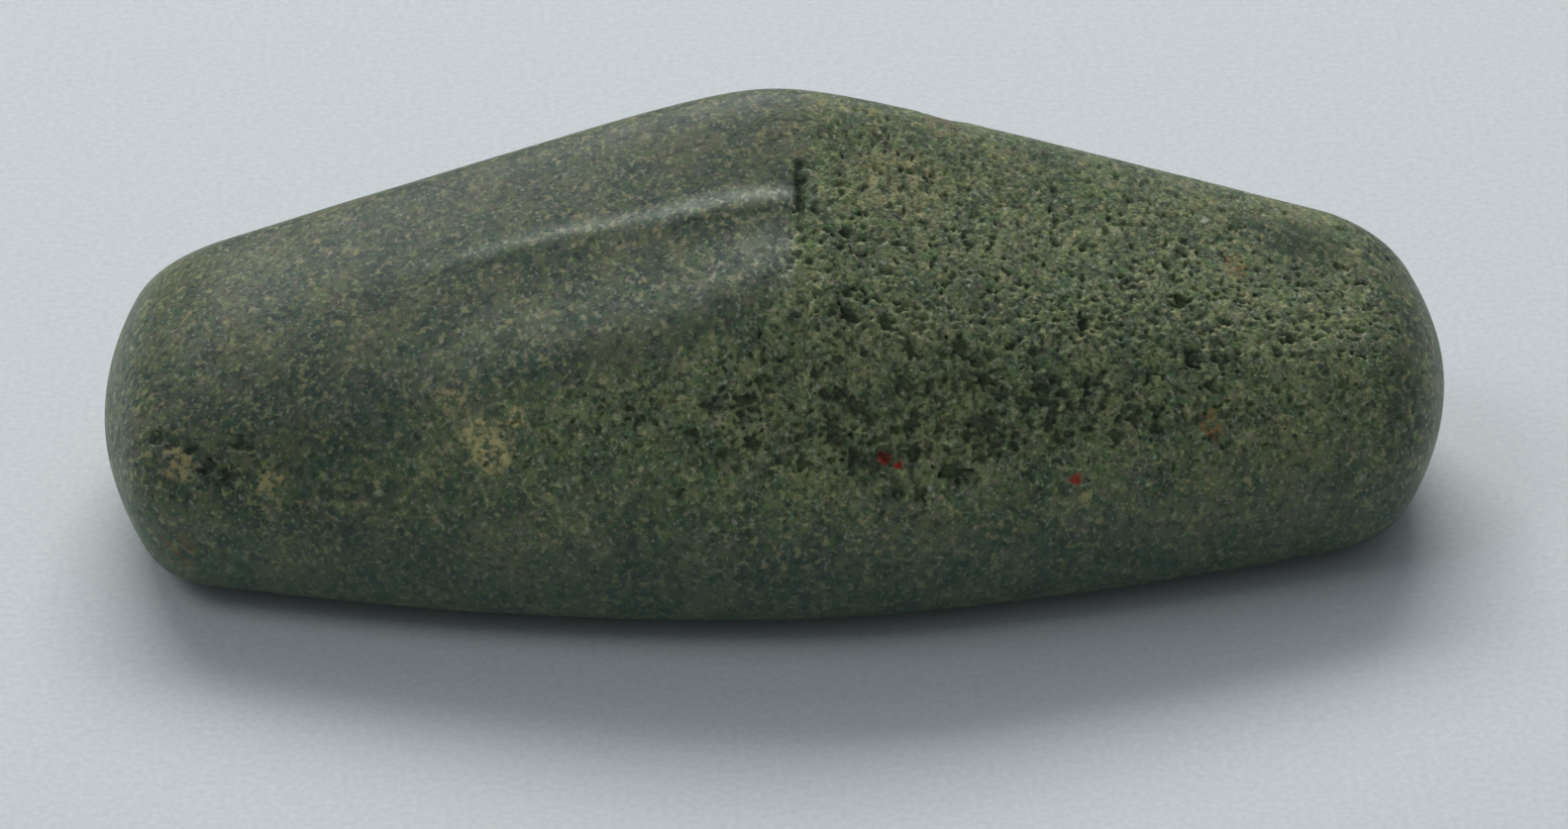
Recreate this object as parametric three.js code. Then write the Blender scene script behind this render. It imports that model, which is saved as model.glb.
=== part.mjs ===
// A polished stone axe, ground from one pebble of greenstone. Millimetres, +Z up.
//
// The stone lies on its ground underside, Z = 0. X runs along it: the broad blade end is at -X and the
// narrower butt at +X. Y runs across it. The back is a roof: its crest lies past the middle, towards +Y, and
// rises to a hump half way along. The long slope on the near side, -Y, is plain on the butt half, and on
// the blade half it is planed into two ridges with a shallow flute between them. Both ends are worn to
// blunt domes.
import * as THREE from 'three';
import { mergeVertices } from 'three/addons/utils/BufferGeometryUtils.js';

// Driving dimensions
const HALF_LENGTH = 50;
const HALF_WIDTH = 21.5;
const HEIGHT = 32.3;

// Plan outline: how much narrower each half has become at the tip, and how late it narrows
const BLADE_TAPER = { amount: 7.55, curve: 2 };
const BUTT_TAPER = { amount: 10.55, curve: 1.6 };

// Crest: its place across the stone, and its fall on each side of the hump, per millimetre along the stone
const CREST_AT = 3.5;
const CREST_ROUNDING = 1.5;
const HUMP_ROUNDING = 5;
const BLADE_FALL = 0.344;
const BUTT_FALL = 0.307;

// Slopes down from the crest; the near ones ease by `easing` per millimetre from the middle of the stone
const FAR_SLOPE = 0.7;
const BUTT_SIDE = { slope: 0.485, easing: 0.0057 };
const UPPER_FACET = { slope: 0.47, easing: 0.009 };
const FLUTE = { slope: 0.58, easing: 0.0058, width: 5, widening: 0.065, depth: 0.28, length: 34 };
const LOWER_FACET_SLOPE = 1.1;
const UPPER_RIDGE_AT = -5.9;
const RIDGE_ROUNDING = 0.4;

// Crease: the facets stop here, with a step at the upper ridge that fades out towards the crest
const CREASE_AT = 1.3;
const CREASE_RUN = 1.2;
const CREASE_FADE = 5;

// Section: where it is widest, and how square the curves of the flanks and the lower edges are
const WIDEST_AT = 7;
const FLANK_CURVE = 1.75;
const BLADE_SQUARING = 0.005;
const BUTT_SQUARING = 0.0034;
const LOWER_EDGE_CURVE = 5;

// Shoulder: the rounding where back meets flank, soft except at the crest and under the planed facets
const CRISP_ROUNDING = 0.8;
const SHOULDER_ROUNDING = 3.65;
const CREST_TO_SHOULDER = 8;
const SHOULDER_FADE = { from: -2, run: 10 };

// Underside: it bellies a little past the flat spot it rests on, and lifts slowly towards the ends
const BELLY = 0.15;
const ROCKER = 0.8;

// End domes: the height of the tip, the bow per square millimetre, and the rounding of the rim
const BLADE_END = { tip: 7.9, bowAcross: 0.016, bowUp: 0.052, rim: 2.4 };
const BUTT_END = { tip: 8.75, bowAcross: 0.0245, bowUp: 0.042, rim: 2.9 };

// A chip on the far side of the back, past the hump
const CHIP = { at: [13.4, 8.8, 31.9], radius: 5 };

// Mesh: steps round the stone and from tip to tip, and the line in its core that they are measured from
const STEPS_ROUND = 64;
const STEPS_ALONG = 56;
const CORE_HALF_LENGTH = 33;
const CORE_HEIGHT = 10;
const CORE_SHARE = 0.66;
const CORE_RADIUS = 2;
const REACH = 40;
const HALVINGS = 44;

const clamp01 = (t) => Math.min(Math.max(t, 0), 1);
const smoothStep = (t) => clamp01(t) ** 2 * (3 - 2 * clamp01(t));
const fromCrest = (y) => Math.hypot(y - CREST_AT, CREST_ROUNDING) - CREST_ROUNDING;
const easedSlope = (side, x) => side.slope - side.easing * Math.abs(x);

// The greater of two lengths, with the edge where they meet rounded
function roundedMax(a, b, rounding) {
  const overlap = Math.max(rounding - Math.abs(a - b), 0);
  return Math.max(a, b) + (overlap * overlap) / (4 * rounding);
}

function halfWidth(x) {
  const taper = x < 0 ? BLADE_TAPER : BUTT_TAPER;
  return HALF_WIDTH - taper.amount * Math.abs(x / HALF_LENGTH) ** taper.curve;
}

function crestHeight(x) {
  const fall = x < 0 ? BLADE_FALL : BUTT_FALL;
  return HEIGHT - fall * (Math.hypot(x, HUMP_ROUNDING) - HUMP_ROUNDING);
}

const bellyHeight = (x) => ROCKER * (x / HALF_LENGTH) ** 2 - BELLY;

// Distance outside the rounded section, less than 0 inside it
function outsideSection(x, y, z) {
  const side = y < CREST_AT ? halfWidth(x) + CREST_AT : halfWidth(x) - CREST_AT;
  const across = Math.abs(y - CREST_AT) / side;
  const above = z > WIDEST_AT;
  const limit = above ? crestHeight(x) : bellyHeight(x);
  const upright = (z - WIDEST_AT) / (limit - WIDEST_AT);
  const flankCurve = FLANK_CURVE + (x < 0 ? BLADE_SQUARING : BUTT_SQUARING) * Math.abs(x);
  const curve = above ? flankCurve : LOWER_EDGE_CURVE;
  const share = (across ** curve + upright ** curve) ** (1 / curve);
  return Math.hypot(y - CREST_AT, z - WIDEST_AT) * (1 - 1 / share);
}

// How far the planed side lies below the crest: upper facet, flute between the two ridges, lower facet
function planedDrop(x, y) {
  const width = FLUTE.width + FLUTE.widening * Math.abs(x);
  const share = (UPPER_RIDGE_AT - y) / width;
  const depth = FLUTE.depth * smoothStep(1 + x / FLUTE.length);
  const facetSlope = easedSlope(UPPER_FACET, x);
  const upperRidge = facetSlope * fromCrest(UPPER_RIDGE_AT);
  const lowerRidge = upperRidge + easedSlope(FLUTE, x) * width;
  const flute = upperRidge + (lowerRidge - upperRidge) * share + 4 * depth * share * (1 - share);
  const lowerFacet = lowerRidge + LOWER_FACET_SLOPE * (share - 1) * width;
  const aboveFlute = roundedMax(facetSlope * fromCrest(y), flute, RIDGE_ROUNDING);
  return roundedMax(aboveFlute, lowerFacet, RIDGE_ROUNDING);
}

// Height of the back, without its rounding into the flanks
function backHeight(x, y) {
  if (y > CREST_AT) {
    return crestHeight(x) - FAR_SLOPE * fromCrest(y);
  }
  const nearCrest = smoothStep((y - UPPER_RIDGE_AT) / (CREST_AT - UPPER_RIDGE_AT));
  const plain = smoothStep((x - CREASE_AT) / (CREASE_RUN + CREASE_FADE * nearCrest));
  const plainDrop = easedSlope(BUTT_SIDE, x) * fromCrest(y);
  return crestHeight(x) - plainDrop * plain - planedDrop(x, y) * (1 - plain);
}

function shoulderRounding(x, y) {
  const unplaned = y > CREST_AT ? 1 : smoothStep((x - SHOULDER_FADE.from) / SHOULDER_FADE.run);
  const soft = unplaned * smoothStep(Math.abs(y - CREST_AT) / CREST_TO_SHOULDER);
  return CRISP_ROUNDING + (SHOULDER_ROUNDING - CRISP_ROUNDING) * soft;
}

// Distance outside the dome of one end
function outsideEnd(along, y, z, end) {
  return along - HALF_LENGTH + end.bowAcross * y ** 2 + end.bowUp * (z - end.tip) ** 2;
}

function insideChip(x, y, z) {
  const [cx, cy, cz] = CHIP.at;
  return CHIP.radius - Math.hypot(x - cx, y - cy, z - cz);
}

// Distance outside the whole stone
function outsideStone(x, y, z) {
  const aboveBack = (z - backHeight(x, y)) / Math.hypot(1, FLUTE.slope);
  let outside = roundedMax(outsideSection(x, y, z), aboveBack, shoulderRounding(x, y));
  outside = roundedMax(outside, outsideEnd(-x, y, z, BLADE_END), BLADE_END.rim);
  outside = roundedMax(outside, outsideEnd(x, y, z, BUTT_END), BUTT_END.rim);
  outside = Math.max(outside, insideChip(x, y, z));
  return Math.max(outside, -z);
}

// The point of the stone's surface on a ray from its core. `along` runs from -1 at the blade tip to 1 at
// the butt tip, and [across, up] is the ray's direction round the core.
function surfacePoint(along, across, up) {
  const reach = Math.abs(along) / CORE_SHARE;
  const side = Math.sign(along);
  const lean = (clamp01((reach - 1) / (1 / CORE_SHARE - 1)) * Math.PI) / 2;
  const from = [side * Math.min(reach, 1) * CORE_HALF_LENGTH, 0, CORE_HEIGHT];
  const way = [side * Math.sin(lean), Math.cos(lean) * across, Math.cos(lean) * up];
  const pointAt = (distance) => from.map((value, axis) => value + way[axis] * distance);
  let near = CORE_RADIUS;
  let far = REACH;
  for (let i = 0; i < HALVINGS; i++) {
    const middle = (near + far) / 2;
    if (outsideStone(...pointAt(middle)) < 0) {
      near = middle;
    } else {
      far = middle;
    }
  }
  return pointAt((near + far) / 2);
}

// A ball whose poles are turned to the two tips, with each of its points moved to the stone's surface
function stoneGeometry() {
  const ball = new THREE.SphereGeometry(1, STEPS_ROUND, STEPS_ALONG);
  ball.rotateZ(-Math.PI / 2);
  const position = ball.getAttribute('position');
  for (let i = 0; i < position.count; i++) {
    const [x, y, z] = [position.getX(i), position.getY(i), position.getZ(i)];
    const along = (2 * Math.asin(Math.min(Math.max(x, -1), 1))) / Math.PI;
    const round = Math.hypot(y, z) || 1;
    const [px, py, pz] = surfacePoint(along, y / round, z / round);
    position.setXYZ(i, px, py, Math.max(pz, 0));
  }
  ball.deleteAttribute('normal');
  ball.deleteAttribute('uv');
  return mergeVertices(ball, 1e-3);
}

// Fine-grained greenstone, ground and polished to a dull sheen
function greenstone() {
  return new THREE.MeshStandardMaterial({ color: 0x474f3d, roughness: 0.5, metalness: 0 });
}

function stoneAxe() {
  const mesh = new THREE.Mesh(stoneGeometry(), greenstone());
  mesh.name = 'stone_axe';
  return mesh;
}

const group = new THREE.Group();
group.add(stoneAxe());
export default group;
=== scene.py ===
# A polished stone axe of dark greenstone, lying on its ground underside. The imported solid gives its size;
# this script gives the ground, fluted and pitted surface and the look of the stone.
import math

import bpy
import numpy as np
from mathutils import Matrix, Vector, kdtree, noise


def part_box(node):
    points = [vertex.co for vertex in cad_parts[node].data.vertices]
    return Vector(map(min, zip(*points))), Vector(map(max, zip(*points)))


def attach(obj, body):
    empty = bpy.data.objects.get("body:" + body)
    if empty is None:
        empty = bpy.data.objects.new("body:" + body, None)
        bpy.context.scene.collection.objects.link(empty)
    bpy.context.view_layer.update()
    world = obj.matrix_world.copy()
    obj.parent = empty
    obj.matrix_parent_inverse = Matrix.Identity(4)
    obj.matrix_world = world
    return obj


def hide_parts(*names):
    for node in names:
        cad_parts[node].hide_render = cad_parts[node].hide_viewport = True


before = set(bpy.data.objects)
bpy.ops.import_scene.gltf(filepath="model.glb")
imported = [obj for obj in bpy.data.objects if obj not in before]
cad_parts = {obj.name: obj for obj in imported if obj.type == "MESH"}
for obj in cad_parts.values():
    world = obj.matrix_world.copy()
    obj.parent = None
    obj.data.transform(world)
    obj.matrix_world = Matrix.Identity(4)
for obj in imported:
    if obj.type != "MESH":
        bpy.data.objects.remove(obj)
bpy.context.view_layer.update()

MM = 0.001
rng = np.random.default_rng(7)

# ---- The stone's form, in millimetres -------------------------------------------------------------
# X runs from the blade end (-) to the butt (+), the long planed slope faces -Y, and Z = 0 is the table. The
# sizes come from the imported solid, whose facets cut the tips and the crest a little lower than the formula.

TIP_CUT = 0.05
CREST_CUT = 0.36
low, high = (np.array(corner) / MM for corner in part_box("stone_axe"))
HALF_LENGTH = (high[0] - low[0]) / 2 + TIP_CUT
HALF_WIDTH = (high[1] - low[1]) / 2
HEIGHT = high[2] + CREST_CUT

# Plan outline: how much narrower each half has become at the tip, and how late it narrows
BLADE_TAPER = dict(amount=7.55, curve=2.0)
BUTT_TAPER = dict(amount=10.55, curve=1.6)

# Crest: its place across the stone, and its fall on each side of the hump, per millimetre along the stone
CREST_AT = 3.5
CREST_ROUNDING = 1.5
HUMP_ROUNDING = 5.0
BLADE_FALL = 0.344
BUTT_FALL = 0.307

# Slopes down from the crest; the near ones ease by `easing` per millimetre from the middle of the stone
FAR_SLOPE = 0.7
BUTT_SIDE = dict(slope=0.485, easing=0.0057)
UPPER_FACET = dict(slope=0.47, easing=0.009)
FLUTE = dict(slope=0.58, easing=0.0058, width=5.6, widening=0.088, depth=0.28, length=34.0)
LOWER_FACET_SLOPE = 1.1

# Ridges: the upper one sags towards the flank, and the flute is pinched narrower as it comes to the crease
UPPER_RIDGE_AT = -5.2
RIDGE_SAG = dict(depth=0.5, at=-8.5, reach=6.0)
FLUTE_PINCH = dict(amount=1.2, along=(-8, 1))
UPPER_RIDGE_ROUNDING = 0.5
LOWER_RIDGE_ROUNDING = 1.6

# Crease: the facets stop here, with a step at the upper ridge that fades out towards the crest
CREASE_AT = 1.3
CREASE_RUN = 1.2
CREASE_FADE = 5.0

# Section: where it is widest, and how square the curves of the flanks and the lower edges are
WIDEST_AT = 7.0
FLANK_CURVE = 1.75
BLADE_SQUARING = 0.005
BUTT_SQUARING = 0.0034
LOWER_EDGE_CURVE = 5.0

# Shoulder: the rounding where back meets flank, soft except at the crest and under the planed facets
CRISP_ROUNDING = 0.8
SHOULDER_ROUNDING = 3.65
CREST_TO_SHOULDER = 8.0
SHOULDER_FADE = (-2.0, 8.0)

# Underside: it bellies a little past the flat spot it rests on, and lifts slowly towards the ends
BELLY = 0.15
ROCKER = 0.8

# End domes: the height of the tip, the bow per square millimetre, and the rounding of the rim
BLADE_END = dict(tip=7.9, bow_across=0.016, bow_up=0.052, rim=2.4)
BUTT_END = dict(tip=8.75, bow_across=0.0245, bow_up=0.042, rim=2.9)

# A chip on the far side of the back, past the hump
CHIP = dict(at=(13.4, 8.8, 31.9), radius=5.0)

# A line in the stone's core, from which rays look for the surface by halving their reach. CORE_SHARE of the
# rays' rows stand along the line, and the rest fan out from its two ends.
CORE_HALF_LENGTH = 33.0
CORE_HEIGHT = 10.0
CORE_SHARE = 0.66
CORE_RADIUS = 2.0
REACH = 40.0
HALVINGS = 26


def smooth_step(t):
    t = np.clip(t, 0, 1)
    return t * t * (3 - 2 * t)


def ramp(value, start, end):
    """0 at start, 1 at end, eased between them."""
    return smooth_step((value - start) / (end - start))


def hump(value, middle, spread):
    """1 at the middle, falling away over the spread."""
    return np.exp(-(((value - middle) / spread) ** 2))


def rounded_max(a, b, rounding):
    """The greater of two lengths, with the edge where they meet rounded."""
    overlap = np.maximum(rounding - np.abs(a - b), 0)
    return np.maximum(a, b) + overlap**2 / (4 * rounding)


def by_half(x, blade, butt):
    return np.where(x < 0, blade, butt)


def from_crest(y):
    return np.hypot(y - CREST_AT, CREST_ROUNDING) - CREST_ROUNDING


def eased_slope(side, x):
    return side["slope"] - side["easing"] * np.abs(x)


def half_width(x):
    amount = by_half(x, BLADE_TAPER["amount"], BUTT_TAPER["amount"])
    curve = by_half(x, BLADE_TAPER["curve"], BUTT_TAPER["curve"])
    return HALF_WIDTH - amount * np.abs(x / HALF_LENGTH) ** curve


def crest_height(x):
    return HEIGHT - by_half(x, BLADE_FALL, BUTT_FALL) * (np.hypot(x, HUMP_ROUNDING) - HUMP_ROUNDING)


def belly_height(x):
    return ROCKER * (x / HALF_LENGTH) ** 2 - BELLY


def outside_section(x, y, z):
    """Distance outside the rounded section, less than 0 inside it."""
    above = z > WIDEST_AT
    side = np.where(y < CREST_AT, half_width(x) + CREST_AT, half_width(x) - CREST_AT)
    across = np.abs(y - CREST_AT) / side
    upright = (z - WIDEST_AT) / (np.where(above, crest_height(x), belly_height(x)) - WIDEST_AT)
    flank_curve = FLANK_CURVE + by_half(x, BLADE_SQUARING, BUTT_SQUARING) * np.abs(x)
    curve = np.where(above, flank_curve, LOWER_EDGE_CURVE)
    share = (across**curve + upright**curve) ** (1 / curve)
    return np.hypot(y - CREST_AT, z - WIDEST_AT) * (1 - 1 / share)


def ridge_lines(x):
    """Where the upper and the lower ridge lie across the stone."""
    upper = UPPER_RIDGE_AT - RIDGE_SAG["depth"] * hump(x, RIDGE_SAG["at"], RIDGE_SAG["reach"])
    pinch = FLUTE_PINCH["amount"] * ramp(x, *FLUTE_PINCH["along"])
    return upper, upper - FLUTE["width"] - FLUTE["widening"] * np.abs(x) + pinch


def planed_drop(x, y):
    """How far the planed side lies below the crest: upper facet, flute between the ridges, lower facet."""
    upper_ridge_at, lower_ridge_at = ridge_lines(x)
    width = upper_ridge_at - lower_ridge_at
    share = (upper_ridge_at - y) / width
    depth = FLUTE["depth"] * smooth_step(1 + x / FLUTE["length"])
    facet_slope = eased_slope(UPPER_FACET, x)
    upper_ridge = facet_slope * from_crest(upper_ridge_at)
    lower_ridge = upper_ridge + eased_slope(FLUTE, x) * width
    flute = upper_ridge + (lower_ridge - upper_ridge) * share + 4 * depth * share * (1 - share)
    lower_facet = lower_ridge + LOWER_FACET_SLOPE * (share - 1) * width
    above_flute = rounded_max(facet_slope * from_crest(y), flute, UPPER_RIDGE_ROUNDING)
    return rounded_max(above_flute, lower_facet, LOWER_RIDGE_ROUNDING)


def back_height(x, y):
    """Height of the back, without its rounding into the flanks."""
    near_crest = ramp(y, UPPER_RIDGE_AT, CREST_AT)
    plain = smooth_step((x - CREASE_AT) / (CREASE_RUN + CREASE_FADE * near_crest))
    near_drop = eased_slope(BUTT_SIDE, x) * from_crest(y) * plain + planed_drop(x, y) * (1 - plain)
    return crest_height(x) - np.where(y > CREST_AT, FAR_SLOPE * from_crest(y), near_drop)


def shoulder_rounding(x, y):
    unplaned = np.where(y > CREST_AT, 1.0, ramp(x, *SHOULDER_FADE))
    soft = unplaned * smooth_step(np.abs(y - CREST_AT) / CREST_TO_SHOULDER)
    return CRISP_ROUNDING + (SHOULDER_ROUNDING - CRISP_ROUNDING) * soft


def outside_end(along, y, z, end):
    """Distance outside the dome of one end."""
    return along - HALF_LENGTH + end["bow_across"] * y**2 + end["bow_up"] * (z - end["tip"]) ** 2


def outside_stone(p):
    """Distance outside the whole stone, for points in rows."""
    x, y, z = p.T
    above_back = (z - back_height(x, y)) / math.hypot(1, FLUTE["slope"])
    outside = rounded_max(outside_section(x, y, z), above_back, shoulder_rounding(x, y))
    outside = rounded_max(outside, outside_end(-x, y, z, BLADE_END), BLADE_END["rim"])
    outside = rounded_max(outside, outside_end(x, y, z, BUTT_END), BUTT_END["rim"])
    outside = np.maximum(outside, CHIP["radius"] - np.linalg.norm(p - CHIP["at"], axis=1))
    return np.maximum(outside, -z)


def meet_surface(start, way):
    """Where rays from inside the stone come out of it."""
    near = np.full(len(start), CORE_RADIUS)
    far = np.full(len(start), REACH)
    for _ in range(HALVINGS):
        middle = (near + far) / 2
        inside = outside_stone(start + way * middle[:, None]) < 0
        near = np.where(inside, middle, near)
        far = np.where(inside, far, middle)
    return start + way * ((near + far) / 2)[:, None]


def on_flank(x, z):
    """The point of the near flank at this place along the stone and this height."""
    return meet_surface(np.array([[x, 0.0, z]]), np.array([[0.0, -1.0, 0.0]]))[0]


def on_back(x, y):
    """The point of the back over this place in plan."""
    return meet_surface(np.array([[x, y, CORE_HEIGHT]]), np.array([[0.0, 0.0, 1.0]]))[0]


# ---- The grid of points that covers the stone -----------------------------------------------------

STEPS_ROUND = 560
STEPS_ALONG = 760
NEAR_FLANK = dict(turn=0.42, spread=0.13, crowding=1.6)
TURN_SAMPLES = 4000
SHOWN_TRIANGLES = 196000
TINY = 1e-12


def turns_round():
    """Angles round the core: one full turn that starts at the far side and goes over the back. They lie
    closer together on the near flank, where the pits are."""
    t = np.linspace(0, 1, TURN_SAMPLES)
    density = 1 + NEAR_FLANK["crowding"] * hump(t, NEAR_FLANK["turn"], NEAR_FLANK["spread"])
    reached = np.concatenate([[0], np.cumsum((density[1:] + density[:-1]) / 2)])
    even = np.linspace(0, reached[-1], STEPS_ROUND, endpoint=False)
    return 2 * math.pi * np.interp(even, reached, t)


def grid_points():
    """The ground surface as a grid: one row for each step along, one column for each step round."""
    along = np.linspace(-1, 1, STEPS_ALONG + 1)[1:-1]
    reach = np.abs(along) / CORE_SHARE
    side = np.sign(along)
    lean = np.clip((reach - 1) / (1 / CORE_SHARE - 1), 0, 1) * math.pi / 2
    turn = turns_round()
    start = np.zeros((len(along), len(turn), 3))
    start[..., 0] = (side * np.minimum(reach, 1) * CORE_HALF_LENGTH)[:, None]
    start[..., 2] = CORE_HEIGHT
    way = np.empty_like(start)
    way[..., 0] = (side * np.sin(lean))[:, None]
    way[..., 1] = np.cos(lean)[:, None] * np.cos(turn)
    way[..., 2] = np.cos(lean)[:, None] * np.sin(turn)
    found = meet_surface(start.reshape(-1, 3), way.reshape(-1, 3))
    return found.reshape(start.shape)


def grid_normals(grid):
    """Outward normals, and the area that each point of the grid stands for. Each step spans two cells, so
    their cross product covers four."""
    round_step = np.roll(grid, -1, 1) - np.roll(grid, 1, 1)
    along_step = np.gradient(grid, axis=0) * 2
    cross = np.cross(round_step, along_step)
    size = np.linalg.norm(cross, axis=2, keepdims=True)
    return cross / np.maximum(size, TINY), size[..., 0] / 4


def rough(points, grain, seed=0.0):
    """Smooth noise from -1 to 1 whose lumps are about one grain across."""
    placed = points / grain + seed
    return np.array([noise.noise(p) for p in placed.tolist()])


# ---- How the surface was worked and has weathered -------------------------------------------------
# A pair is the two places between which something fades in or, where hump() takes it, a middle and a spread.

# The polish on the blade half ends along this line, given by its places along and across the stone. The edge
# is soft across the line, and fades in along it.
POLISH_LIMIT = [
    (-60, -16.5),
    (-24, -15.0),
    (-13.4, -14.8),
    (-7, -14.0),
    (-3, -12.8),
    (0.6, -8.8),
    (1.5, -3.0),
]
LIMIT_EDGE = dict(across=(-0.6, 1.6), along=(-44, -10))

# The butt half was left pecked. Its edge is crisp at the crease. Near the crest and on the far side it starts
# nearer to the blade end and fades over a longer run.
BUTT_EDGE = dict(start=CREASE_AT - 0.5, near_crest=2, on_far_side=16)
BUTT_EDGE_RUN = dict(least=1.5, near_crest=7, on_far_side=32)
FAR_SIDE = (CREST_AT, 12.0)

# Places low on the flanks, past the crest and at the tips that were ground smoother, and the smooth dish near
# the butt
PECKED_ABOVE = (6.0, 16.0)
CREST_GRINDING = dict(share=0.75, across=(-1.0, 7.0))
TIP_GRINDING = dict(share=0.9, along=(42, 47))
SMOOTH_DISH = dict(along=(38.9, 4.2), across=(0.1, 2.4))


def pecked(p):
    """How far each place was left pecked: 0 where it was ground smooth, up to 1 on the near butt half."""
    x, y, z = p.T
    limit_x, limit_y = zip(*POLISH_LIMIT)
    near_crest = ramp(y, UPPER_RIDGE_AT, CREST_AT)
    far_side = ramp(y, *FAR_SIDE)
    earlier = BUTT_EDGE["near_crest"] * near_crest
    start = BUTT_EDGE["start"] - earlier - BUTT_EDGE["on_far_side"] * far_side
    longer = BUTT_EDGE_RUN["near_crest"] * near_crest
    end = start + BUTT_EDGE_RUN["least"] + longer + BUTT_EDGE_RUN["on_far_side"] * far_side
    below_limit = ramp(np.interp(x, limit_x, limit_y) - y, *LIMIT_EDGE["across"])
    share = np.maximum(ramp(x, start, end), below_limit * ramp(x, *LIMIT_EDGE["along"]))
    share = share * ramp(z, *PECKED_ABOVE)
    share = share * (1 - CREST_GRINDING["share"] * ramp(y, *CREST_GRINDING["across"]))
    share = share * (1 - TIP_GRINDING["share"] * ramp(np.abs(x), *TIP_GRINDING["along"]))
    return share * (1 - hump(x, *SMOOTH_DISH["along"]) * hump(y, *SMOOTH_DISH["across"]))


# Pits crowd in a band half way up the near side and by the nick, and thin out towards the blade end
PIT_BAND = dict(least=0.2, more=0.8, up=(16.3, 4.8), along=(11, 21))
PITS_BY_NICK = dict(more=0.2, along=(4, 4), up=(24, 3))
BLADE_THINNING = dict(share=0.6, along=(4, 34))


def crowding(p):
    """How crowded the pits are: 0 where the stone is smooth, about 1 at the thickest."""
    x, _, z = p.T
    thick = PIT_BAND["least"] + PIT_BAND["more"] * hump(z, *PIT_BAND["up"]) * hump(x, *PIT_BAND["along"])
    thick = thick + PITS_BY_NICK["more"] * hump(x, *PITS_BY_NICK["along"]) * hump(z, *PITS_BY_NICK["up"])
    return pecked(p) * thick * (1 - BLADE_THINNING["share"] * ramp(-x, *BLADE_THINNING["along"]))


# Single pits: how many there are, their radius and how much it varies, their depth as a share of the radius,
# and how strongly they gather where the crowding is thick
LARGE_PITS = dict(count=190, radius=0.4, spread=0.3, depth=0.75, gathering=4.0)
SMALL_PITS = dict(count=2200, radius=0.18, spread=0.25, depth=0.65, gathering=0.9)

# The pits that have places of their own, each with its radius
NAMED_PITS = [
    (on_back(2.9, -6.2), 0.35),
    (on_back(4.9, -7.4), 0.5),
    (on_flank(3.9, 16.7), 0.75),
    (on_flank(8.6, 19.4), 0.6),
    (on_flank(15.0, 16.4), 0.8),
    (on_flank(-2.5, 18.7), 0.6),
    (on_flank(-45.1, 13.0), 0.5),
    (on_flank(-43.9, 13.0), 0.4),
    (on_flank(-42.6, 12.9), 0.5),
    (on_flank(-41.3, 12.1), 0.6),
    (on_flank(-39.8, 11.7), 0.65),
    (on_flank(-39.1, 13.6), 0.5),
    (on_flank(-38.3, 13.6), 0.4),
]
NAMED_PIT_DEPTH = 0.7

# The shape of a pit: how ragged it is and the grain of that, how far it may be stretched and, as shares of
# its radius, where its floor ends, where its rim lies and how far it can reach
PIT_SHAPE = dict(raggedness=0.9, grain=0.38, stretch=0.55, floor=0.35, rim=1.1, widest=2.2)


def pressed_pits(points, area):
    """Depth below the ground surface of the single pits, at every point."""
    tree = kdtree.KDTree(len(points))
    for i, p in enumerate(points.tolist()):
        tree.insert(p, i)
    tree.balance()
    crowd = crowding(points)
    pits = [(place, radius, NAMED_PIT_DEPTH) for place, radius in NAMED_PITS]
    for kind in (LARGE_PITS, SMALL_PITS):
        chance = (crowd ** kind["gathering"] * area).cumsum()
        spots = np.searchsorted(chance, rng.random(kind["count"]) * chance[-1])
        sizes = kind["radius"] * np.exp(kind["spread"] * rng.standard_normal(len(spots)))
        pits += [(points[i], size, kind["depth"]) for i, size in zip(spots, sizes)]
    ragged = 1 + PIT_SHAPE["raggedness"] * rough(points, PIT_SHAPE["grain"], seed=31.0)
    depth = np.zeros(len(points))
    for place, radius, share in pits:
        grain = rng.standard_normal(3)
        grain /= np.linalg.norm(grain)
        found = [i for _, i, _ in tree.find_range(place, radius * PIT_SHAPE["widest"])]
        offset = points[found] - place
        offset -= rng.uniform(0.0, PIT_SHAPE["stretch"]) * (offset @ grain)[:, None] * grain
        reach = np.linalg.norm(offset, axis=1) / radius * ragged[found]
        dished = share * radius * (1 - ramp(reach, PIT_SHAPE["floor"], PIT_SHAPE["rim"]))
        depth[found] = np.maximum(depth[found], dished)
    return depth


# Gaps that crystals weathered out of: their grain, the finer grain and its share, their depth, the level of
# noise that they start at and how far crowding lowers it, the width of their edges, and the crowding between
# which they fade in
GAPS = dict(
    grain=0.6,
    fine_grain=0.32,
    fine_share=0.6,
    depth=0.2,
    level=0.54,
    lowered=0.26,
    edge=0.22,
    crowd=(0.02, 0.2),
)


def weathered_gaps(points):
    """Depth below the ground surface of the irregular gaps between crystals, at every point."""
    field = rough(points, GAPS["grain"], seed=3.0)
    field = field + GAPS["fine_share"] * rough(points, GAPS["fine_grain"], seed=11.0)
    crowd = crowding(points)
    level = GAPS["level"] - GAPS["lowered"] * crowd
    return GAPS["depth"] * ramp(field, level, level + GAPS["edge"]) * ramp(crowd, *GAPS["crowd"])


# The ragged nick at the crease, on the back only
CREASE_NICK = dict(at=(1.75, -4.9), half_width=0.3, half_length=2.0, depth=0.55, raggedness=0.5, grain=0.8)
NICK_ABOVE = 20


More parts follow.
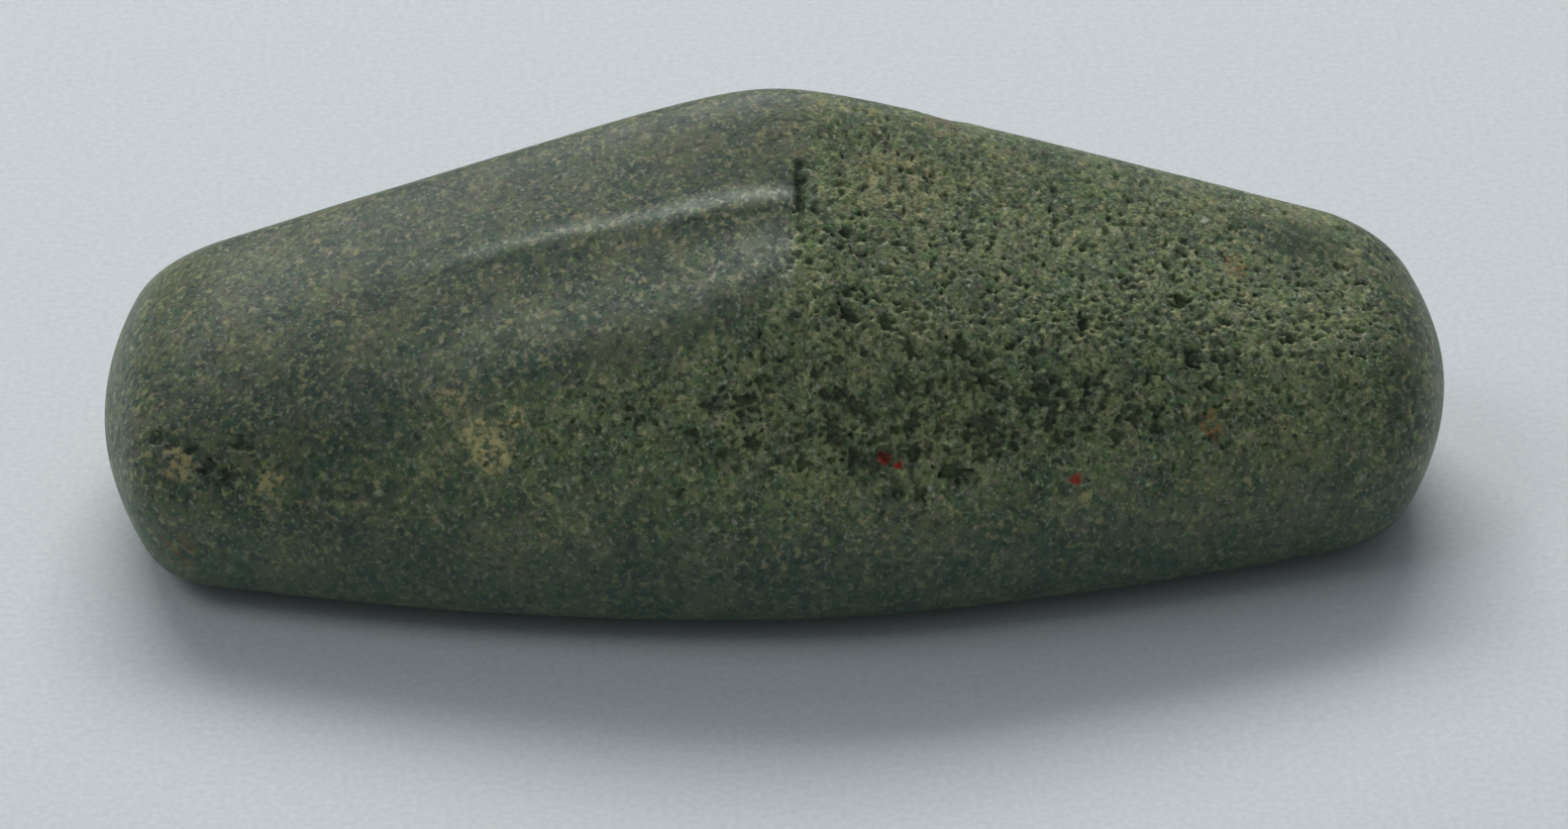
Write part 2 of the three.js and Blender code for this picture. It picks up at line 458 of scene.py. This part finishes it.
def crease_nick(points):
    """Depth of the ragged nick left where the plane stopped against the butt half."""
    ragged = CREASE_NICK["raggedness"] * rough(points, CREASE_NICK["grain"], seed=23.0)
    across = (points[:, 0] - CREASE_NICK["at"][0]) / CREASE_NICK["half_width"] + ragged
    along = (points[:, 1] - CREASE_NICK["at"][1]) / CREASE_NICK["half_length"] + ragged
    return CREASE_NICK["depth"] * np.exp(-(across**2) - along**4) * (points[:, 2] > NICK_ABOVE)


# Lips along the two ridges: height, half width, how far below the ridge each lies, and where it fades in
UPPER_LIP = dict(height=0.08, half_width=0.65, below=0.35, along=(-30, -12))
LOWER_LIP = dict(height=0.22, half_width=1.8, below=1.2, along=(-26, -8))
PLANED_UP_TO = (CREASE_AT - 0.6, CREASE_AT + 0.4)
PLANED_ABOVE = 15


def planed(points):
    """1 on the planed back of the blade half, and 0 past the crease and on the lower flank."""
    return (1 - ramp(points[:, 0], *PLANED_UP_TO)) * (points[:, 2] > PLANED_ABOVE)


def ridge_lips(points):
    """Height of the worn lips along the upper and the lower ridge."""
    x, y, _ = points.T
    height = np.zeros(len(points))
    for ridge, lip in zip(ridge_lines(x), (UPPER_LIP, LOWER_LIP)):
        height += lip["height"] * hump(y, ridge - lip["below"], lip["half_width"]) * ramp(x, *lip["along"])
    return height * planed(points)


# Rubbed places, made paler in colour: partly real wear and partly a painted highlight on the ridges. The
# streaks lie a little above the ridges, and both grow stronger towards the crease. The flute between them is
# a little paler as painted light, and the rims of the ends as wear and a painted reflection.
UPPER_RUB_AND_HIGHLIGHT = dict(above=0.15, half_width=0.6, along=(-34, -10), least=0.45, more=0.55, grows=(-13, -1))
LOWER_RUB_AND_HIGHLIGHT = dict(above=0.2, half_width=2.4, along=(-38, -16), least=0.25, more=0.3, grows=(-8, 0))
FLUTE_RUB_AND_LIGHT = dict(share=0.07, edge=1, along=(-24, -4))
RIM_RUB_AND_REFLECTION = dict(share=0.14, along=(45.0, 48.0))


def rub_and_highlight_streak(x, y, ridge, rub):
    """The rubbed streak along one ridge, real wear and a painted highlight, 1 at its strongest."""
    growth = rub["least"] + rub["more"] * ramp(x, *rub["grows"])
    return growth * hump(y, ridge + rub["above"], rub["half_width"]) * ramp(x, *rub["along"])


def rub_and_highlight_share(points):
    """How far each place is rubbed pale, partly real wear and partly a painted highlight: most on the ridges
    near the crease, a little in the flute between them, and a little on the rims as wear and a painted
    reflection."""
    x, y, _ = points.T
    upper, lower = ridge_lines(x)
    streaks = np.maximum(rub_and_highlight_streak(x, y, upper, UPPER_RUB_AND_HIGHLIGHT), rub_and_highlight_streak(x, y, lower, LOWER_RUB_AND_HIGHLIGHT))
    edge = FLUTE_RUB_AND_LIGHT["edge"]
    between = FLUTE_RUB_AND_LIGHT["share"] * ramp(upper - y, -edge, edge) * ramp(y, lower - edge, lower + edge)
    between = between * ramp(x, *FLUTE_RUB_AND_LIGHT["along"])
    rims = RIM_RUB_AND_REFLECTION["share"] * ramp(np.abs(x), *RIM_RUB_AND_REFLECTION["along"])
    return np.clip((streaks + between) * planed(points) + rims, 0, 1)


# Faint unevenness: two grains of pecking, and the waver of a surface ground by hand
COARSE_PECKING = dict(depth=0.05, grain=1.4, seed=0.0)
FINE_PECKING = dict(depth=0.03, grain=0.55, seed=17.0)
HAND_WAVER = dict(depth=0.04, grain=7.0, seed=5.0)
RESTING_EDGE = (0.0, 1.0)


def uneven(points, depth, grain, seed):
    """Depth of a smooth unevenness, which is this deep on the whole and twice as deep at most."""
    return depth * (rough(points, grain, seed) + 1)


def worked_surface():
    """The grid with its pits, pecking and faint unevenness. The flat that the stone rests on stays flat."""
    grid = grid_points()
    normals, area = grid_normals(grid)
    points = grid.reshape(-1, 3)
    pits = np.maximum(pressed_pits(points, area.ravel()), weathered_gaps(points))
    pecking = uneven(points, **COARSE_PECKING) + uneven(points, **FINE_PECKING)
    waver = uneven(points, **HAND_WAVER)
    sunk = pits + pecked(points) * pecking + waver + crease_nick(points) - ridge_lips(points)
    sunk = sunk * ramp(points[:, 2], *RESTING_EDGE)
    return grid - normals * sunk.reshape(area.shape)[..., None]


def grid_mesh(name, grid):
    """One closed mesh over the grid, with a fan of triangles at each tip."""
    rows, columns = grid.shape[:2]
    tips = [grid[0].mean(0), grid[-1].mean(0)]
    points = np.vstack([grid.reshape(-1, 3), tips])
    here = np.arange(rows * columns).reshape(rows, columns)
    beside = np.roll(here, -1, 1)
    quads = np.stack([here[:-1], beside[:-1], beside[1:], here[1:]], -1).reshape(-1, 4)
    blade_tip = np.stack([here[0], np.full(columns, rows * columns), beside[0]], -1)
    butt_tip = np.stack([beside[-1], np.full(columns, rows * columns + 1), here[-1]], -1)
    mesh = bpy.data.meshes.new(name)
    faces = quads.tolist() + blade_tip.tolist() + butt_tip.tolist()
    mesh.from_pydata((points * MM).tolist(), [], faces)
    return mesh


def thin_out(piece):
    """Brings the mesh under its limit. Flat stretches lose the most points, and pits and edges the fewest."""
    triangles = sum(len(face.vertices) - 2 for face in piece.data.polygons)
    thin = piece.modifiers.new("thin", "DECIMATE")
    thin.ratio = SHOWN_TRIANGLES / triangles
    depsgraph = bpy.context.evaluated_depsgraph_get()
    thinned = bpy.data.meshes.new_from_object(piece.evaluated_get(depsgraph))
    piece.modifiers.clear()
    piece.data = thinned
    piece.data.shade_smooth()


def points_of(mesh):
    points = np.empty(len(mesh.vertices) * 3)
    mesh.vertices.foreach_get("co", points)
    return points.reshape(-1, 3)


def fit_to_frame(piece):
    """Brings the mesh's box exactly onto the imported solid's."""
    points = points_of(piece.data)
    goal_low, goal_high = (np.array(corner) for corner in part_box("stone_axe"))
    at_low, at_high = points.min(0), points.max(0)
    fitted = goal_low + (points - at_low) / (at_high - at_low) * (goal_high - goal_low)
    piece.data.vertices.foreach_set("co", fitted.ravel())
    piece.data.update()


# Painted shade and dirt in the pits, darker the deeper a point lies: how strong it becomes, and the depths
# between which it grows
PIT_SHADE_AND_DIRT_STRENGTH = 0.6
PIT_SHADE_AND_DIRT_DEPTHS = (0.16, 0.45)


def write_surface(piece):
    """Stores for the material how smooth each point was ground, how much painted shade and dirt its depth in
    a pit gives it, and how far it is rubbed pale and painted with a highlight."""
    points = points_of(piece.data) / MM
    ground = 1 - pecked(points)
    # Painted shade and dirt, darker the deeper the point lies in a pit
    sunk = PIT_SHADE_AND_DIRT_STRENGTH * ramp(-outside_stone(points), *PIT_SHADE_AND_DIRT_DEPTHS)
    for name, values in (("ground", ground), ("sunk", sunk), ("rub_and_highlight", rub_and_highlight_share(points))):
        attribute = piece.data.attributes.new(name, "FLOAT", "POINT")
        attribute.data.foreach_set("value", values.astype(np.float32))


# ---- The look of the stone ------------------------------------------------------------------------


def linear(code, alpha=1.0):
    """An sRGB hex colour as the linear values that shaders use."""
    parts = [int(code[i : i + 2], 16) / 255 for i in (1, 3, 5)]
    return tuple(c / 12.92 if c <= 0.04045 else ((c + 0.055) / 1.055) ** 2.4 for c in parts) + (alpha,)


def add(tree, kind, settings=None, **links):
    """Adds a node. Settings are its properties, or values for its inputs. Links feed its inputs from other
    nodes: in0 is the first input, and Base_Color is the one named Base Color."""
    node = tree.nodes.new(kind)
    for key, value in (settings or {}).items():
        if isinstance(key, int) or key in node.inputs.keys():
            node.inputs[key].default_value = value
        else:
            setattr(node, key, value)
    for key, source in links.items():
        place = int(key[2:]) if key.startswith("in") and key[2:].isdigit() else key.replace("_", " ")
        tree.links.new(source, node.inputs[place])
    return node


def new_material(name):
    material = bpy.data.materials.new(name)
    material.use_nodes = True
    material.node_tree.nodes.clear()
    return material, material.node_tree


# Greenstone is a fine dark groundmass, mottled darker and paler, and full of small crystals. Each mineral and
# each mottling is a crowd of specks, laid on in this order. Each row gives its colour, the size of a speck in
# millimetres, where it starts in the noise (lower is commoner), and how strongly it covers.
GROUNDMASS = "#4e5d4d"
WEATHERED_GROUNDMASS = "#6b7553"
DARK_GROUNDMASS = "#2c3e37"
PALE_GROUNDMASS = "#7e7f60"
MINERALS = {
    "mauve_feldspar": ("#6f6763", 2.2, 0.55, 0.45),
    "chlorite": ("#2b4e40", 1.1, 0.52, 0.65),
    "clay": ("#7b7657", 1.2, 0.58, 0.5),
    "dark_groundmass": (DARK_GROUNDMASS, 3.6, 0.51, 0.62),
    "pale_groundmass": (PALE_GROUNDMASS, 4.6, 0.55, 0.42),
    "pink_feldspar": ("#7a6e66", 0.6, 0.58, 0.5),
    "epidote": ("#62794c", 0.6, 0.57, 0.5),
    "hornblende": ("#1b2722", 0.65, 0.57, 0.6),
    "weathered_feldspar": ("#a5a27c", 0.65, 0.62, 0.65),
    "quartz": ("#a4ab9b", 0.4, 0.64, 0.6),
}

# Specks: the softness of their edges, the turn of the noise in radians, the way that a seed shifts it, and
# the step of the seed from one mineral to the next
SPECK_EDGE = 0.14
SPECK_TURN = (0.5, 0.65, 0.4)
SEED_WAY = (1.0, 0.7, -1.0)
SEED_STEP = 13.7

# Single larger crystals: place, radius, colour and how strongly each covers
JASPER = "#a62e1e"
WHITE_QUARTZ = "#d5d8cc"
CRYSTALS = [
    (on_flank(7.4, 14.9), 0.8, JASPER, 1.0),
    (on_flank(8.3, 14.4), 0.5, JASPER, 1.0),
    (on_flank(21.2, 12.0), 0.55, JASPER, 0.9),
    (on_back(31.6, 0.1), 0.4, WHITE_QUARTZ, 0.9),
]
CRYSTAL_BEND = 1.0

# Stains, crowds of pale crystals and broad darker and paler patches, broken up by the grain of the stone:
# place, radius, colour, strength
RUST = "#85633f"
RUST_BROWN = "#7a6253"
TAN = "#aea57e"
OLIVE = "#86835a"
DISH_GREEN = "#3b4d37"
STAINS = [
    (on_flank(-43.8, 5.7), 2.0, RUST, 0.35),
    # The three broad dark patches darken the blade half, low on its near flank and on its back, and the broad
    # pale one lightens the flank by the nick.
    (on_flank(-28.0, 13.5), 11.0, DARK_GROUNDMASS, 0.35),
    (on_flank(-10.0, 13.5), 8.0, DARK_GROUNDMASS, 0.35),
    (on_back(-24.0, -0.5), 11.0, DARK_GROUNDMASS, 0.3),
    (on_flank(7.0, 18.5), 9.0, PALE_GROUNDMASS, 0.3),
    (on_flank(-36.8, 19.2), 1.1, DARK_GROUNDMASS, 1.0),
    (on_flank(-35.7, 19.8), 0.9, DARK_GROUNDMASS, 1.0),
    (on_back(33.8, -3.4), 1.2, RUST, 0.6),
    (on_flank(31.3, 14.2), 1.4, RUST, 0.6),
    (on_back(12.2, 3.2), 1.6, RUST_BROWN, 0.5),
    (on_flank(-23.5, 17.9), 1.5, TAN, 0.8),
    (on_flank(-21.8, 16.0), 1.6, TAN, 0.9),
    (on_flank(-19.0, 17.1), 0.9, TAN, 0.8),
    (on_flank(-20.8, 14.9), 1.8, TAN, 1.0),
    (on_flank(-37.1, 11.6), 1.4, TAN, 0.9),
    (on_flank(-43.5, 11.9), 1.6, TAN, 0.9),
    (on_back(9.0, -2.6), 4.0, TAN, 0.4),
    (on_back(3.9, 3.2), 0.9, OLIVE, 0.8),
    (on_back(7.0, 3.0), 0.9, OLIVE, 0.8),
    (on_back(37.9, 0.5), 2.1, DISH_GREEN, 1.0),
    (on_back(40.4, 0.1), 2.1, DISH_GREEN, 1.0),
]
STAIN_BEND = 2.2
STAIN_GRAINS = dict(size=0.55, start=0.49, strength=1.0, seed=57.0, edge=0.12)

# Edges of the stains and crystals: the grain that they wander with, and the share of the radius inside which
# each one is at its full strength
WANDER_GRAIN = 0.9
PATCH_CORE = 0.6


def mix_colour(tree, share, below, above):
    """Lays one colour over another. Each of the two is a hex colour or a socket."""
    node = add(tree, "ShaderNodeMix", {"data_type": "RGBA"}, in0=share)
    for place, colour in ((6, below), (7, above)):
        if isinstance(colour, str):
            node.inputs[place].default_value = linear(colour)
        else:
            tree.links.new(colour, node.inputs[place])
    return node.outputs[2]


def specks(tree, mm, size, start, strength, seed, edge=SPECK_EDGE):
    """A crowd of specks of one size: 0 between them, up to the strength within them. The noise is turned, so
    that no plane of its grid lies along the stone."""
    shift = {"operation": "ADD", 1: tuple(seed * way for way in SEED_WAY)}
    moved = add(tree, "ShaderNodeVectorMath", shift, in0=mm).outputs[0]
    turn = {"rotation_type": "EULER_XYZ", "Rotation": SPECK_TURN}
    turned = add(tree, "ShaderNodeVectorRotate", turn, Vector=moved).outputs[0]
    look = {"Scale": 1 / size, "Detail": 2.0, "Roughness": 0.6}
    field = add(tree, "ShaderNodeTexNoise", look, Vector=turned).outputs["Fac"]
    limits = {"From Min": start - edge / 2, "From Max": start + edge / 2, "To Max": strength}
    return add(tree, "ShaderNodeMapRange", limits, Value=field).outputs[0]


def patches(tree, mm, places, colour, bend, broken=None):
    """Lays patches over the stone's colour. Their edges wander by the bend, and the grain may break them up.
    The noise that bends them is about 0.5, so half the bend is added to each place to keep it there."""
    look = {"Scale": 1 / WANDER_GRAIN, "Detail": 3.0}
    wander = add(tree, "ShaderNodeTexNoise", look, Vector=mm).outputs["Color"]
    spread = {"operation": "MULTIPLY_ADD", 1: (bend,) * 3}
    bent = add(tree, "ShaderNodeVectorMath", spread, in0=wander, in2=mm).outputs[0]
    for place, radius, code, strength in places:
        distance = {"operation": "DISTANCE", 1: tuple(value + bend / 2 for value in place)}
        away = add(tree, "ShaderNodeVectorMath", distance, in0=bent).outputs["Value"]
        limits = {"From Min": radius, "From Max": radius * PATCH_CORE, "To Max": strength}
        share = add(tree, "ShaderNodeMapRange", limits, Value=away).outputs[0]
        if broken:
            share = add(tree, "ShaderNodeMath", {"operation": "MULTIPLY"}, in0=share, in1=broken).outputs[0]
        colour = mix_colour(tree, share, colour, code)
    return colour


# Low on the flanks the stone is a little bluer, and that fades out upwards
LOW_BAND = "#5b6d63"
LOW_BAND_FADE = {"From Min": 10.0, "From Max": 4.0, "To Max": 0.45}

# How the stone's colour changes with its finish. Pecked stone is dry, much lighter than ground stone, and
# veiled by a little of its own dust. Rubbed stone is painted lighter and greyer still, partly as real wear
# and partly as a painted highlight.
PECKED_TO_GROUND_VALUE = {"To Min": 1.78, "To Max": 0.94}
RUB_AND_HIGHLIGHT_VALUE = 2.35
RUB_AND_HIGHLIGHT_SATURATION = {"To Min": 1.2, "To Max": 0.6}
RUB_AND_HIGHLIGHT_TINT = "#b4b8b0"
RUB_AND_HIGHLIGHT_TINT_SHARE = 0.3
STONE_DUST = "#7e8a67"
DUST_SHARE = {"To Min": 0.2, "To Max": 0.0}


def grained_colour(tree, mm, ground):
    """The minerals, laid over the groundmass one after another, then the low band and the stains."""
    colour = mix_colour(tree, ground, WEATHERED_GROUNDMASS, GROUNDMASS)
    for number, (code, size, start, strength) in enumerate(MINERALS.values()):
        crowd = specks(tree, mm, size, start, strength, SEED_STEP * number)
        colour = mix_colour(tree, crowd, colour, code)
    height = add(tree, "ShaderNodeSeparateXYZ", in0=mm).outputs["Z"]
    low = add(tree, "ShaderNodeMapRange", LOW_BAND_FADE, Value=height).outputs[0]
    colour = mix_colour(tree, low, colour, LOW_BAND)
    return patches(tree, mm, STAINS, colour, STAIN_BEND, specks(tree, mm, **STAIN_GRAINS))


def stone_colour(tree, mm, ground, rub_and_highlight):
    """The grained colour as the finish changes it, lighter where it is rubbed and painted with a highlight,
    with the single crystals laid on last.
    """
    colour = grained_colour(tree, mm, ground)
    dry = add(tree, "ShaderNodeMapRange", PECKED_TO_GROUND_VALUE, Value=ground).outputs[0]
    # Rubbed places are made lighter and greyer here: partly real wear, partly a painted highlight.
    brighter = {"operation": "MULTIPLY_ADD", 1: RUB_AND_HIGHLIGHT_VALUE}
    value = add(tree, "ShaderNodeMath", brighter, in0=rub_and_highlight, in2=dry).outputs[0]
    strong = add(tree, "ShaderNodeMapRange", RUB_AND_HIGHLIGHT_SATURATION, Value=rub_and_highlight).outputs[0]
    colour = add(tree, "ShaderNodeHueSaturation", Value=value, Saturation=strong, Color=colour).outputs[0]
    # A pale tint mixed in where the stone is rubbed: partly real wear, partly a painted highlight.
    rubbed = add(tree, "ShaderNodeMath", {"operation": "MULTIPLY", 1: RUB_AND_HIGHLIGHT_TINT_SHARE}, in0=rub_and_highlight).outputs[0]
    colour = mix_colour(tree, rubbed, colour, RUB_AND_HIGHLIGHT_TINT)
    dusty = add(tree, "ShaderNodeMapRange", DUST_SHARE, Value=ground).outputs[0]
    colour = mix_colour(tree, dusty, colour, STONE_DUST)
    return patches(tree, mm, CRYSTALS, colour, CRYSTAL_BEND)


# Painted shade and dirt in the pits and, where the stone was pecked, in pinholes too fine for the mesh
PIT_SHADE_AND_DIRT = "#2a3629"
PINHOLES = dict(size=0.5, start=0.57, strength=1.0, seed=77.0)
PINHOLE_SHARE = {"To Min": 0.6, "To Max": 0.0}

# Gloss and the finest relief, from pecked to ground: roughness, what rubbing takes off it, and the bump. Worn
# and dry, the stone reflects less than the 1.6 of its minerals would.
GREENSTONE_IOR = 1.42
PECKED_TO_GROUND_ROUGHNESS = {"To Min": 0.75, "To Max": 0.52}
RUBBED_ROUGHNESS = -0.12
PECKED_TO_GROUND_BUMP = {"To Min": 1.0, "To Max": 0.3}
BUMP_GRAIN = 0.28
BUMP_DEPTH = 0.12


def greenstone():
    """Greenstone, pecked to shape and then ground on wet sandstone. It shows fine crystals of dark green,
    olive and tan. Where it was ground it has a dull sheen, and where it was only pecked it is dry, rough and
    lighter."""
    material, tree = new_material("ground_greenstone")
    place = add(tree, "ShaderNodeTexCoord").outputs["Object"]
    mm = add(tree, "ShaderNodeVectorMath", {"operation": "SCALE", "Scale": 1 / MM}, in0=place).outputs[0]
    ground = add(tree, "ShaderNodeAttribute", {"attribute_name": "ground"}).outputs["Fac"]
    sunk = add(tree, "ShaderNodeAttribute", {"attribute_name": "sunk"}).outputs["Fac"]
    rub_and_highlight = add(tree, "ShaderNodeAttribute", {"attribute_name": "rub_and_highlight"}).outputs["Fac"]

    # Pits darken with painted shade and dirt, the deeper the darker, and so do fine pinholes where the stone
    # was pecked.
    colour = mix_colour(tree, sunk, stone_colour(tree, mm, ground, rub_and_highlight), PIT_SHADE_AND_DIRT)
    loose = add(tree, "ShaderNodeMapRange", PINHOLE_SHARE, Value=ground).outputs[0]
    pinholes = specks(tree, mm, **PINHOLES)
    picked = add(tree, "ShaderNodeMath", {"operation": "MULTIPLY"}, in0=pinholes, in1=loose).outputs[0]
    colour = mix_colour(tree, picked, colour, PIT_SHADE_AND_DIRT)

    dull = add(tree, "ShaderNodeMapRange", PECKED_TO_GROUND_ROUGHNESS, Value=ground).outputs[0]
    smoother = {"operation": "MULTIPLY_ADD", 1: RUBBED_ROUGHNESS}
    roughness = add(tree, "ShaderNodeMath", smoother, in0=rub_and_highlight, in2=dull).outputs[0]
    fine = add(tree, "ShaderNodeTexNoise", {"Scale": 1 / BUMP_GRAIN, "Detail": 3.0}, Vector=mm).outputs["Fac"]
    strength = add(tree, "ShaderNodeMapRange", PECKED_TO_GROUND_BUMP, Value=ground).outputs[0]
    relief = {"Distance": BUMP_DEPTH * MM}
    bump = add(tree, "ShaderNodeBump", relief, Strength=strength, Height=fine).outputs[0]
    finish = dict(Base_Color=colour, Roughness=roughness, Normal=bump)
    shader = add(tree, "ShaderNodeBsdfPrincipled", {"IOR": GREENSTONE_IOR}, **finish)
    add(tree, "ShaderNodeOutputMaterial", Surface=shader.outputs[0])
    return material


def stone_axe():
    mesh = grid_mesh("stone_axe_surface", worked_surface())
    piece = bpy.data.objects.new("stone_axe_surface", mesh)
    bpy.context.collection.objects.link(piece)
    thin_out(piece)
    fit_to_frame(piece)
    write_surface(piece)
    piece.data.materials.append(greenstone())
    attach(piece, "root")
    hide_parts("stone_axe")


# ---- Floor, light and camera ----------------------------------------------------------------------

PAPER_TOOTH = 0.5 * MM
PAPER_HOLLOWS = "#d2d8dc"
PAPER_TOPS = "#eef3f5"
FLOOR_REACH = 1.5
FLOOR_GAP = 0.02 * MM


def cold_pressed_paper():
    """Heavy cold-pressed paper: matt, pale and slightly blue, with a faint tooth that shows as fine grain."""
    material, tree = new_material("cold_pressed_paper")
    place = add(tree, "ShaderNodeTexCoord").outputs["Object"]
    look = {"Scale": 1 / PAPER_TOOTH, "Detail": 2.0}
    tooth = add(tree, "ShaderNodeTexNoise", look, Vector=place).outputs["Fac"]
    colour = mix_colour(tree, tooth, PAPER_HOLLOWS, PAPER_TOPS)
    shader = add(tree, "ShaderNodeBsdfPrincipled", {"Roughness": 0.9}, Base_Color=colour)
    add(tree, "ShaderNodeOutputMaterial", Surface=shader.outputs[0])
    return material


def paper_floor():
    """A wide sheet of paper, a hair below the stone."""
    mesh = bpy.data.meshes.new("paper_floor")
    sides = [(-1, -1), (1, -1), (1, 1), (-1, 1)]
    corners = [(x * FLOOR_REACH, y * FLOOR_REACH, -FLOOR_GAP) for x, y in sides]
    mesh.from_pydata(corners, [], [(0, 1, 2, 3)])
    mesh.materials.append(cold_pressed_paper())
    floor = bpy.data.objects.new("paper_floor", mesh)
    bpy.context.collection.objects.link(floor)


def look_from(azimuth, elevation):
    """The direction from the stone towards an azimuth and elevation in degrees; 0, 0 is straight in front."""
    a, e = math.radians(azimuth), math.radians(elevation)
    return Vector((math.sin(a) * math.cos(e), -math.cos(a) * math.cos(e), math.sin(e)))


def soft_light(name, azimuth, elevation, distance, size, power, colour):
    """A rectangular light that faces the stone. Its colour is a linear tint."""
    light = bpy.data.lights.new(name, "AREA")
    light.shape = "RECTANGLE"
    light.size, light.size_y = size
    light.energy = power
    light.color = colour
    lamp = bpy.data.objects.new(name, light)
    way = look_from(azimuth, elevation)
    lamp.location = way * distance
    lamp.rotation_euler = way.to_track_quat("Z", "Y").to_euler()
    lamp.visible_camera = False
    bpy.context.collection.objects.link(lamp)


# The camera looks down on the stone from in front. Angles are in degrees and lengths in metres, except for
# the sensor's millimetres. VIEW_WIDTH is how much it takes in at that distance. It aims a little to the right
# of the stone's middle, and below it.
VIEW_AZIMUTH = -1.5
VIEW_ELEVATION = 33.0
VIEW_DISTANCE = 0.45
VIEW_WIDTH = 0.1164
AIM_HEIGHT = 14.0 * MM
AIM_RIGHT = 0.63 * MM
AIM_DOWN = 6.44 * MM
SENSOR_WIDTH = 36.0
NEAREST_SEEN = 0.01


def camera():
    lens = bpy.data.cameras.new("camera")
    lens.sensor_width = SENSOR_WIDTH
    lens.lens = SENSOR_WIDTH * VIEW_DISTANCE / VIEW_WIDTH
    lens.clip_start = NEAREST_SEEN
    eye = bpy.data.objects.new("camera", lens)
    back = look_from(VIEW_AZIMUTH, VIEW_ELEVATION)
    turn = back.to_track_quat("Z", "Y")
    right, up = turn @ Vector((1, 0, 0)), turn @ Vector((0, 1, 0))
    aim = Vector((0, 0, AIM_HEIGHT)) + right * AIM_RIGHT - up * AIM_DOWN
    eye.location = aim + back * VIEW_DISTANCE
    eye.rotation_euler = turn.to_euler()
    bpy.context.collection.objects.link(eye)
    bpy.context.scene.camera = eye


ROOM_TINT = (0.93, 0.98, 1.05, 1.0)
ROOM_STRENGTH = 0.165

# Daylight from a wide window behind the stone, from the pale wall round it, and from a wall on the left
LIGHTS = {
    "window": dict(
        azimuth=185.5,
        elevation=42.9,
        distance=2.0,
        size=(1.6, 0.62),
        power=26.8,
        colour=(1.0, 0.99, 0.97),
    ),
    "window_wall": dict(
        azimuth=183.0,
        elevation=50.0,
        distance=2.0,
        size=(3.2, 0.85),
        power=6.0,
        colour=(0.92, 0.98, 1.06),
    ),
    "left_wall": dict(
        azimuth=275.0,
        elevation=50.0,
        distance=1.5,
        size=(0.9, 0.6),
        power=3.0,
        colour=(0.93, 0.98, 1.0),
    ),
}


def studio():
    scene = bpy.context.scene
    scene.view_settings.view_transform = "Standard"
    world = bpy.data.worlds.new("soft_room")
    world.use_nodes = True
    background = world.node_tree.nodes["Background"]
    background.inputs["Color"].default_value = ROOM_TINT
    background.inputs["Strength"].default_value = ROOM_STRENGTH
    scene.world = world
    for name, settings in LIGHTS.items():
        soft_light(name, **settings)
    paper_floor()
    camera()


studio()
stone_axe()
